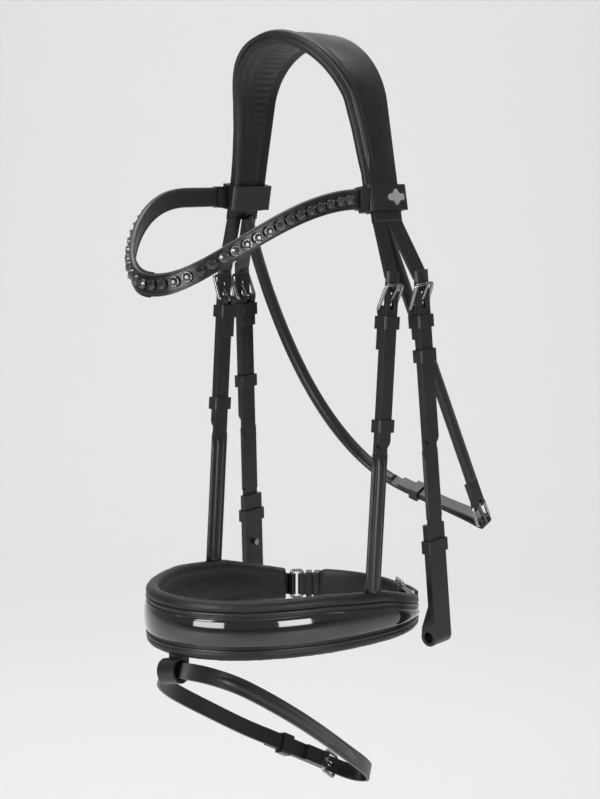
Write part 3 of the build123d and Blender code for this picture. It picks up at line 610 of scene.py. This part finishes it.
@dataclass
class BuckledStrap:
    """A hanging strap with its buckle: bend cover, edge beads, stitching and raised middle."""

    kind: str
    body: str
    top: tuple[float, float, float]
    foot: tuple[float, float, float]
    width: float
    chape: float
    length: float
    ridge: bool
    billet_thickness: float = 2.4
    strap_thickness: float = 2.8
    layer_gap: float = 0.2
    tail: float = 131.0
    bar_drop: float = 23.0

    @property
    def face(self) -> float:
        """Outer face of the strap, out of the frame's plane."""
        return -self.billet_thickness / 2 - self.layer_gap

    def bend(self, run: HangingFrame, word: str) -> None:
        """Straight cover at the bend, between the headpiece's billet and its end below.

        Args:
            run: the strap's frame.
            word: the side's name.
        """
        reach = 7.0
        skin = 0.22
        corner = 0.6
        half, thick = self.width / 2 + skin, self.billet_thickness / 2 + skin
        outline = [(-half, -thick + corner), (-half + corner, -thick), (half - corner, -thick),
                   (half, -thick + corner), (half, thick - corner), (half - corner, thick),
                   (-half + corner, thick), (-half, thick - corner)]
        path = run.line(0, reach, -2.4, 0, 0.6)
        bm = bmesh.new()
        loft(bm, stations_on(path, lambda p: run.out), lambda s: outline)
        cover = finished(bm, f"{word}_{self.kind}_bend", ROLLED_LEATHER, None)
        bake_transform(cover)

    def sewing(self, run: HangingFrame, word: str) -> None:
        """Stitches of the chape and of the billet's end.

        Args:
            run: the strap's frame.
            word: the side's name.
        """
        inset = self.width / 2 - 1.6
        low = -self.bar_drop - self.chape
        bm = bmesh.new()
        for x in (-inset, inset):
            back = self.face - 2 * self.strap_thickness
            sew(bm, run.line(x, -self.bar_drop - 4, low + 1.5, back), lambda p: -run.out)
            sew(bm, run.line(x, -self.bar_drop - 4, -self.tail + 8, self.billet_thickness / 2),
                lambda p: run.out, pitch=3.4, length=2.0, width=0.5)
        finished(bm, f"{word}_{self.kind}_stitching", THREAD, self.body)

    def edging(self, run: HangingFrame, word: str) -> None:
        """Rounded beads along the strap's edges.

        Args:
            run: the strap's frame.
            word: the side's name.
        """
        bm = bmesh.new()
        mid = self.face - self.strap_thickness / 2
        for x in (-self.width / 2, self.width / 2):
            tube(bm, run.line(x, -self.tail - 4, -self.length, mid, 12.0), lambda p: run.out,
                 self.strap_thickness / 2 + 0.12, 8)
        finished(bm, f"{word}_{self.kind}_edges", ROLLED_LEATHER, self.body)

    def crown(self, run: HangingFrame, word: str) -> None:
        """Raised middle of the strap below the billet's end.

        Args:
            run: the strap's frame.
            word: the side's name.
        """
        start, end = -self.tail - 3, -self.length
        path = run.line(0, start, end, self.face, 3.0)

        def outline(share: float) -> Outline:
            """Outline at a share of the piece."""
            grow = min(1.0, share * len(path) / 4.0) ** 0.5 * 0.96 + 0.04
            return oval((self.width - 2.6) * (0.6 + 0.4 * grow), 6.6 * grow, 14, -1.0)

        bm = bmesh.new()
        loft(bm, stations_on(path, lambda p: run.out), outline)
        finished(bm, f"{word}_{self.kind}_raised_face", ROLLED_LEATHER, self.body)

    def build(self, side: Side) -> None:
        """Make the strap's pieces on one side.

        Args:
            side: the side to make.
        """
        run = HangingFrame.hung(self.top, self.foot, side)
        self.bend(run, side.word)
        self.sewing(run, side.word)
        self.edging(run, side.word)
        if self.ridge:
            self.crown(run, side.word)


# ------------------------------------------------------------------------------ ovals in plan


def plan_point(turn: float, half: float, reach: float, power: float) -> tuple[float, float]:
    """Point of a superellipse in plan.

    Args:
        turn: angle from the near side towards the front.
        half: half width.
        reach: reach to the front.
        power: how square it is.

    Returns:
        x and y.
    """
    c, s = cos(turn), sin(turn)
    x = half * abs(c) ** (2 / power) * (1 if c > 0 else -1)
    y = -reach * abs(s) ** (2 / power) * (1 if s > 0 else -1)
    return x, y


@dataclass
class Browband:
    """Curved browband with set stones, edge beads and stitching."""

    half: float = 77.0
    reach: float = 160.0
    power: float = 2.3
    level: float = -121.0
    drop: float = 62.0
    height: float = 14.0
    thickness: float = 3.6
    stones: int = 38
    first_stone: float = 30.0
    cup_height: float = 2.6
    start: dict[int, tuple[float, float]] = field(
        default_factory=lambda: {1: (18.0, 2.0), -1: (50.0, 2.4)})

    def middle(self, turn: float) -> Vector:
        """Point of the browband's middle line at a turn."""
        x, y = plan_point(turn, self.half, self.reach, self.power)
        begin, power = self.start[1 if x > 0 else -1]
        share = max(0.0, (-y - begin) / (self.reach - begin))
        return Vector((x, y, self.level - self.drop * share ** power))

    def turn_at(self, y: float) -> float:
        """Turn of the near side at a distance along the head."""
        return asin((-y / self.reach) ** (self.power / 2))

    def outward(self, turn: float) -> Vector:
        """Outward direction in plan at a turn."""
        a, b = self.middle(turn - 0.004), self.middle(turn + 0.004)
        way = Vector((b.y - a.y, a.x - b.x, 0)).normalized()
        return way if way.dot(Vector((self.middle(turn).x, self.middle(turn).y, 0))) > 0 else -way

    def run(self, y_start: float, pitch: float) -> list[Station]:
        """Evenly spaced stations from the near side round the front to the far side.

        Args:
            y_start: how far forward the run starts and ends.
            pitch: distance between stations, or the number of them if it is negative.

        Returns:
            The stations, with across upwards.
        """
        first = self.turn_at(-y_start)
        fine = [first + (pi - 2 * first) * i / 600 for i in range(601)]
        line = [self.middle(t) for t in fine]
        lengths = [0.0]
        for a, b in zip(line, line[1:]):
            lengths.append(lengths[-1] + (b - a).length)
        count = round(-pitch) if pitch < 0 else round(lengths[-1] / pitch) + 1
        made, k = [], 0
        for i in range(count):
            want = lengths[-1] * i / (count - 1)
            while k < 600 and lengths[k] < want - 1e-6:
                k += 1
            made.append(Station(line[k], Vector((0, 0, 1)), self.outward(fine[k])))
        return made

    def build(self) -> None:
        """Make the beads, stitching, stones and claws."""
        places = self.run(self.first_stone - 16, 3.0)
        bm = bmesh.new()
        for x in (-self.height / 2 + 0.4, self.height / 2 - 0.4):
            loft(bm, places, lambda s: [(x + a, b) for a, b in oval(2.6, self.thickness + 1.0, 10)])
        finished(bm, "browband_edges", ROLLED_LEATHER, "browband")
        bm = bmesh.new()
        for x in (-self.height / 2 + 2.1, self.height / 2 - 2.1):
            path = [p.at(x, -self.thickness / 2) for p in places]
            sew(bm, path, lambda q: -self.nearest(q, places), pitch=3.2, width=0.5)
        finished(bm, "browband_stitching", THREAD, "browband")
        self.gems()

    def nearest(self, point: Vector, places: Sequence[Station]) -> Vector:
        """Outward direction of the station nearest a point."""
        return min(places, key=lambda p: (p.point - point).length_squared).out

    def gems(self) -> None:
        """Make the cut stones and their claws on the cups."""
        stones, claws = bmesh.new(), bmesh.new()
        for place in self.run(self.first_stone, -self.stones):
            up = place.across
            axes = Matrix((up, place.out.cross(up), place.out)).transposed().to_4x4()
            base = self.thickness / 2 + self.cup_height

            def spot(n: float) -> Matrix:
                """Place n out of the band."""
                return Matrix.Translation(place.point + place.out * n) @ axes

            bmesh.ops.create_cone(stones, cap_ends=True, segments=8, radius1=3.75, radius2=1.3,
                                  depth=1.5, matrix=spot(base + 0.55))
            bmesh.ops.create_cone(stones, cap_ends=True, segments=8, radius1=3.3, radius2=3.75,
                                  depth=0.5, matrix=spot(base - 0.4))
            for i in range(4):
                a = pi / 4 + pi / 2 * i
                claw = spot(base + 0.35) @ Matrix.Translation((3.5 * cos(a), 3.5 * sin(a), 0))
                bmesh.ops.create_uvsphere(claws, u_segments=6, v_segments=4, radius=0.75,
                                          matrix=claw)
        finished(stones, "browband_crystals", CRYSTAL, "browband", smooth=False)
        finished(claws, "browband_claws", CUP_METAL, "browband")


# ------------------------------------------------------------------------------------- noseband


@dataclass
class Noseband:
    """Padded noseband with a patent strip between stitched beads, and its chin pad."""

    half: float = 92.0
    front: float = 143.0
    rear: float = 98.0
    power: float = 2.1
    end_y: float = 60.0
    bottom: float = -467.0
    roll_top: float = 10.0
    roll_bottom: float = 8.0
    leather: float = 2.5
    padding: float = 7.0
    patent_inset: float = 3.0
    top_line: tuple[tuple[float, float], ...] = (
        (-160.0, -421.0), (-60.0, -421.0), (0.0, -426.0), (60.0, -440.0))
    crank_level: float = -454.0
    crank_thickness: float = 2.2
    dee_radius: float = 1.4
    chin_half: float = 52.0
    chin_height: float = 30.0
    chin_thickness: float = 6.0

    def outline_at(self, turn: float) -> Vector:
        """Outer face in plan at a turn."""
        reach = self.front if sin(turn) > 0 else self.rear
        x, y = plan_point(turn, self.half, reach, self.power)
        return Vector((x, y, 0))

    def outward(self, turn: float) -> Vector:
        """Outward direction in plan at a turn."""
        a, b = self.outline_at(turn - 0.002), self.outline_at(turn + 0.002)
        return Vector((a.y - b.y, b.x - a.x, 0)).normalized()

    def turn_at_y(self, y: float) -> float:
        """Turn of the near side at a distance y behind the middle."""
        return -asin((y / self.rear) ** (self.power / 2))

    def turn_at_x(self, x: float) -> float:
        """Turn of the rear where it passes x."""
        share = (abs(x) / self.half) ** (self.power / 2)
        return -acos(share if x > 0 else -share)

    def run(self, first: float, last: float, pitch: float) -> list[Station]:
        """Stations along the outer face between two turns, at height zero.

        Args:
            first: turn where it starts.
            last: turn where it ends.
            pitch: distance between stations.

        Returns:
            The stations, with across upwards.
        """
        fine = [first + (last - first) * i / 900 for i in range(901)]
        made, gone = [], pitch
        before = self.outline_at(first)
        for turn in fine:
            here = self.outline_at(turn)
            gone += (here - before).length
            before = here
            if gone >= pitch:
                made.append(Station(here, Vector((0, 0, 1)), self.outward(turn)))
                gone = 0.0
        return made

    def top(self, y: float) -> float:
        """Top edge of the padding at a distance along the head."""
        return between(y, self.top_line)

    def padding_outline(self, place: Station) -> Outline:
        """Outline of the padding: a roll along the top, one along the bottom, a crowned inside.

        Args:
            place: the station.

        Returns:
            The outline, across and out.
        """
        top, low = self.top(place.point.y), self.bottom
        r, q = 5.3, 4.9
        back = -(self.leather + self.padding)
        outline = []
        for i in range(13):
            a = radians(-62 + 262 * i / 12)
            outline.append((top - r + r * sin(a), -4.3 + r * 1.05 * cos(a)))
        for i in range(1, 8):
            u = i / 8
            z = top - r - 2 - (top - r - 2 - low - q - 1.5) * u
            outline.append((z, back + 1.4 - 1.6 * sin(pi * u) ** 0.5))
        for i in range(13):
            a = radians(160 + 262 * i / 12)
            outline.append((low + q + q * sin(a), -4.1 + q * 1.05 * cos(a)))
        wrinkled = []
        for z, n in outline:
            spot = place.at(0, n) + Vector((0, 0, z))
            fold = noise.noise(Vector((spot.x, spot.y, spot.z * 0.35)) * 0.33)
            fine = noise.noise(spot * 0.9)
            push = 0.32 * fold + 0.1 * fine
            mid_z, mid_n = (top + low) / 2, -5.0
            away = Vector((z - mid_z, n - mid_n)).normalized()
            wrinkled.append((z + away.x * push, n + away.y * push))
        return wrinkled

    def patent_outline(self, place: Station) -> Outline:
        """Outline of the crowned patent strip.

        Args:
            place: the station.

        Returns:
            The outline, across and out.
        """
        top = self.top(place.point.y) - self.roll_top - self.patent_inset
        low = self.bottom + self.roll_bottom + self.patent_inset
        top = max(top, low + 1.6)
        outline = [(low, -0.4)]
        for i in range(13):
            u = i / 12
            outline.append((low + (top - low) * (0.5 - 0.5 * cos(pi * u)),
                            0.35 + 2.5 * sin(pi * u) ** 0.75))
        outline.append((top, -0.4))
        return outline

    def build(self) -> None:
        """Make the padding, patent strip, beads, stitching and chin pad."""
        end = self.turn_at_y(self.end_y - 0.4)
        places = self.run(end, pi - end, 1.9)
        last = len(places) - 1
        bm = bmesh.new()
        loft(bm, places, lambda s: self.padding_outline(places[round(s * last)]))
        padding = finished(bm, "noseband_padding", LINING_LEATHER, "noseband",
                           replaces=["noseband_pad"])
        short = self.turn_at_y(self.end_y - 5)
        strip = self.run(short, pi - short, 2.4)
        bm = bmesh.new()
        loft(bm, strip, lambda s: self.patent_outline(strip[round(s * (len(strip) - 1))]))
        finished(bm, "noseband_patent", PATENT_LEATHER, "noseband",
                 replaces=["noseband_patent_strip"])
        self.beads(places)
        self.chin()

    def beads(self, places: Sequence[Station]) -> None:
        """Piping along the leather's edges and stitching beside the patent strip.

        Args:
            places: stations along the noseband.
        """
        piping, thread = bmesh.new(), bmesh.new()
        for from_top, offset in ((True, -self.roll_top), (False, self.roll_bottom)):
            line, sewn, inner = [], [], []
            for place in places:
                edge = self.top(place.point.y) if from_top else self.bottom
                way = 1 if from_top else -1
                z = edge + offset
                line.append(place.at(0, 0.1) + Vector((0, 0, z + 0.3 * way)))
                sewn.append(place.at(0, 0.12) + Vector((0, 0, z - 1.9 * way)))
                inner.append(place.at(0, 0.25) + Vector((0, 0, z - 3.0 * way)))
            for path, radius in ((line, 1.35), (inner, 0.62)):
                stations = [Station(p, Vector((0, 0, 1)), place.out)
                            for p, place in zip(path, places)]
                outline = oval(2 * radius, 2 * radius, 8)
                loft(piping, stations[2:-2] if radius < 1 else stations, lambda s: outline)
            sew(thread, sewn[3:-3], lambda q: Vector((q.x, q.y * 0.45, 0)), pitch=3.0)
        finished(piping, "noseband_piping", ROLLED_LEATHER, "noseband")
        finished(thread, "noseband_stitching", THREAD, "noseband")

    def chin(self) -> None:
        """Make the puffed chin pad inside the crank strap."""
        inset = self.leather + 3 * self.dee_radius + 0.05 + self.crank_thickness
        places = self.run(self.turn_at_x(self.chin_half), self.turn_at_x(-self.chin_half), 2.0)
        half, thick = self.chin_height / 2, self.chin_thickness

        def outline(share: float) -> Outline:
            """Outline at a share of the piece."""
            end = min(1.0, 14 * share + 0.25, 14 * (1 - share) + 0.25) ** 0.5
            made = []
            for i in range(24):
                a = 2 * pi * i / 24
                z = half * abs(cos(a)) ** 0.45 * (1 if cos(a) > 0 else -1)
                n = thick / 2 * abs(sin(a)) ** 0.7 * (1 if sin(a) > 0 else -1)
                bulge = 0.9 if n < 0 else 0.25
                made.append((self.crank_level + z * (0.7 + 0.3 * end),
                             -inset - thick / 2 + (n - bulge * (n < 0)) * end))
            return made

        bm = bmesh.new()
        loft(bm, places, outline)
        pad = finished(bm, "chin_padding", LINING_LEATHER, "noseband", replaces=["chin_pad"])


# ------------------------------------------------------------------------------------- flash


@dataclass
class Flash:
    """Stitching and raised face of the flash strap."""

    origin: tuple[float, float, float] = (0.0, -142.0, -479.0)
    dip: float = 31.0
    roll: float = 12.0
    width: float = 13.0
    half: float = 38.0
    front: float = 55.0
    thickness: float = 2.4

    def frame(self) -> tuple[Vector, Vector, Vector]:
        """The strap's directions: to the near side, along it, and square to its loop."""
        dip, roll = radians(self.dip), radians(self.roll)
        x = Vector((cos(roll), sin(roll) * sin(dip), sin(roll) * cos(dip)))
        z = Vector((-sin(roll), cos(roll) * sin(dip), cos(roll) * cos(dip)))
        return x, z.cross(x), z

    def near_run(self, out: float) -> list[Vector]:
        """Points of the near run's outer face, from the front to near the buckle."""
        x, y, _ = self.frame()
        start = Vector(self.origin)
        spots = [(self.half * cos(a), self.front * (1 - sin(a))) for a in
                 (radians(54), radians(36), radians(18), 0.0)]
        spots += [(37, 110), (30, 165), (21, 215)]
        return smooth_path([start + x * (a + out) + y * b for a, b in spots], 3.0)

    def build(self) -> None:
        """Make the raised face and the two rows of stitching of the near run."""
        x, _, z = self.frame()
        face = self.thickness / 2
        path = self.near_run(face + 0.1)
        stations = [Station(p, z, s.out) for p, s in
                    zip(path, stations_on(path, lambda p: x))]

        def outline(share: float) -> Outline:
            """Outline at a share of the piece."""
            grow = min(1.0, 0.2 + share * 9, 0.2 + (1 - share) * 9)
            return oval((self.width - 5.4) * grow, 3.0 * grow, 12, -0.35)

        bm = bmesh.new()
        loft(bm, stations, outline)
        finished(bm, "flash_raised_face", ROLLED_LEATHER, "flash")
        bm = bmesh.new()
        for across in (-self.width / 2 + 1.4, self.width / 2 - 1.4):
            sew(bm, [p + z * across for p in path], lambda p: x)
        finished(bm, "flash_stitching", THREAD, "flash")


@dataclass
class Throatlash:
    """Rolled part of the throatlash's long strap."""

    origin: tuple[float, float, float] = (0.0, 14.6, -138.0)
    tilt: float = 25.5
    width: float = 11.0
    route: tuple[tuple[float, float], ...] = (
        (-73.6, 0), (-77.5, 42), (-77.0, 100), (-71.5, 143), (-62, 178), (-49, 206), (-34, 227),
        (-16, 243), (-4, 249))
    near_line: tuple[tuple[float, float], ...] = ((73.6, 0), (84.0, 238))

    def points(self, route: Iterable[tuple[float, float]]) -> list[Vector]:
        """Points of a route in the strap's sloping plane."""
        tilt = radians(self.tilt)
        down = Vector((0, sin(tilt), -cos(tilt)))
        return [Vector(self.origin) + Vector((a, 0, 0)) + down * b for a, b in route]

    def build(self) -> None:
        """Make the rolled faces of both straps."""
        square = Vector((0, cos(radians(self.tilt)), sin(radians(self.tilt))))
        outline = oval(self.width + 0.4, 5.6, 14)
        bm = bmesh.new()
        for route in (self.route, self.near_line):
            path = smooth_path(self.points(route), 3.0)
            places = []
            for station in stations_on(path, lambda p: Vector((p.x, 0, -0.2))):
                places.append(Station(station.point, square, station.out))
            loft(bm, places, lambda s: outline)
        finished(bm, "throatlash_rolled_leather", ROLLED_LEATHER, "throatlash")


# ------------------------------------------------------------------------------------- setting


@dataclass
class Setting:
    """Pale sweep with painted shade that darkens it away from the camera, soft studio light and the
    camera.
    """

    azimuth: float = 43.0
    distance: float = 1.55
    eye: float = -0.095
    aim: float = -0.2826
    lens: float = 87.3
    floor: float = -0.80

    def directions(self) -> tuple[Vector, Vector]:
        """Level directions towards the camera and to its right."""
        a = radians(self.azimuth)
        return Vector((sin(a), -cos(a), 0)), Vector((cos(a), sin(a), 0))

    def sweep(self) -> None:
        """Floor that curves up into a backdrop, its colour painted darker away from the camera as
        shade.
        """
        towards, right = self.directions()
        bend, far, wall = 1.4, -1.6, 3.4
        profile = [(3.4, self.floor), (far, self.floor)]
        turns = [radians(9 * i) for i in range(1, 11)]
        profile += [(far - bend * sin(a), self.floor + bend - bend * cos(a)) for a in turns]
        profile.append((far - bend, wall))
        bm = bmesh.new()
        verts = [bm.verts.new(towards * d - right * 5 + Vector((0, 0, z))) for d, z in profile]
        edges = [bm.edges.new(pair) for pair in zip(verts, verts[1:])]
        made = bmesh.ops.extrude_edge_only(bm, edges=edges)["geom"]
        bmesh.ops.translate(bm, vec=right * 10,
                            verts=[g for g in made if isinstance(g, bmesh.types.BMVert)])
        for face in bm.faces:
            face.smooth = True
        mesh = bpy.data.meshes.new("sweep")
        bm.to_mesh(mesh)
        bm.free()
        paper = bpy.data.materials.new("pale_paper")
        paper.use_nodes = True
        tree = paper.node_tree
        shader = tree.nodes["Principled BSDF"]
        # Painted shade: the paper's colour runs from pale near the camera to darker behind the
        # bridle and up the backdrop.
        where = tree.nodes.new("ShaderNodeTexCoord")
        along = tree.nodes.new("ShaderNodeVectorMath")
        along.operation = "DOT_PRODUCT"
        along.inputs[1].default_value = towards
        tree.links.new(where.outputs["Object"], along.inputs[0])
        painted_shade = tree.nodes.new("ShaderNodeMapRange")
        painted_shade.interpolation_type = "SMOOTHSTEP"
        for name, value in (("From Min", 0.2), ("From Max", 1.8), ("To Min", 0.78),
                            ("To Max", 0.4)):
            painted_shade.inputs[name].default_value = value
        tree.links.new(along.outputs["Value"], painted_shade.inputs["Value"])
        tree.links.new(painted_shade.outputs["Result"], shader.inputs["Base Color"])
        shader.inputs["Roughness"].default_value = 0.9
        shader.inputs["Specular IOR Level"].default_value = 0.1
        mesh.materials.append(paper)
        backdrop = bpy.data.objects.new("sweep", mesh)
        bpy.context.scene.collection.objects.link(backdrop)

    def lamp(self, name: str, place: Vector, target: Vector, width: float, height: float,
             power: float) -> None:
        """Add one soft panel of light.

        Args:
            name: the light's name.
            place: where it stands.
            target: what it points at.
            width: its width.
            height: its height.
            power: its power in watts.
        """
        data = bpy.data.lights.new(name, "AREA")
        data.shape = "RECTANGLE"
        data.size, data.size_y, data.energy = width, height, power
        lamp = bpy.data.objects.new(name, data)
        lamp.location = place
        lamp.rotation_euler = (target - place).to_track_quat("-Z", "Y").to_euler()
        lamp.visible_camera = False
        bpy.context.scene.collection.objects.link(lamp)

    def light(self) -> None:
        """Set the soft studio light."""
        towards, right = self.directions()
        mid = Vector((0, 0, -0.32))
        up = Vector((0, 0, 1))
        self.lamp("key", mid + towards * 1.5 - right * 1.3 + up * 1.1, mid, 0.8, 0.9, 17)
        self.lamp("front", mid + towards * 1.45 - right * 0.95 + up * 0.05, mid, 1.1, 0.6, 14)
        self.lamp("side", mid + towards * 1.25 + right * 1.05 + up * 0.05, mid, 0.6, 0.6, 9)
        self.lamp("top", mid + up * 1.9 - towards * 0.2, mid, 1.8, 1.4, 17)
        self.lamp("wall", mid - towards * 0.9 + up * 2.3, mid - towards * 3.0 - up * 0.2, 4.0, 1.5,
                  44)
        world = bpy.data.worlds.new("studio")
        world.use_nodes = True
        world.node_tree.nodes["Background"].inputs["Color"].default_value = (0.9, 0.9, 0.9, 1)
        world.node_tree.nodes["Background"].inputs["Strength"].default_value = 0.3
        bpy.context.scene.world = world

    def camera(self) -> None:
        """Place the camera."""
        towards, _ = self.directions()
        data = bpy.data.cameras.new("camera")
        data.lens = self.lens
        data.sensor_fit = "VERTICAL"
        data.sensor_height = 36.0
        camera = bpy.data.objects.new("camera", data)
        camera.location = towards * self.distance + Vector((0, 0, self.eye))
        aim = Vector((0, 0, self.aim)) - camera.location
        camera.rotation_euler = aim.to_track_quat("-Z", "Y").to_euler()
        bpy.context.scene.collection.objects.link(camera)
        bpy.context.scene.camera = camera

    def build(self) -> None:
        """Set the stage, the light and the camera."""
        self.sweep()
        self.light()
        self.camera()
        bpy.context.scene.view_settings.view_transform = "Standard"


def dress_solids() -> None:
    """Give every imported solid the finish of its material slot."""
    for row in frame["record"]["subparts"]:
        node = frame["nodes"][row["node"]]
        finish = CAD_FINISHES[row["material_slot"]]
        node.data.materials.clear()
        node.data.materials.append(finish.material())
        log.info("dressed %s in %s", row["node"], finish.name)


def main() -> None:
    """Build every sub-assembly's looks in order."""
    logging.basicConfig(level=logging.INFO, format="%(name)s: %(message)s")
    dress_solids()
    Headpiece().build()
    Browband().build()
    buckle_z = -183.0
    for side in Side:
        BuckledStrap("hanger", "noseband", (91.5, 6.0, buckle_z), (91.0, -12.0, -430.0), 14.0,
                     31.0, 244.0, ridge=True).build(side)
        BuckledStrap("cheek", f"{side.word}_cheekpiece", (98.0, 33.0, buckle_z),
                     (109.0, 53.0, -470.0), 15.0, 24.0, 190.0, ridge=False).build(side)
    Noseband().build()
    Flash().build()
    Throatlash().build()
    Setting().build()


if __name__ == "__main__":
    main()
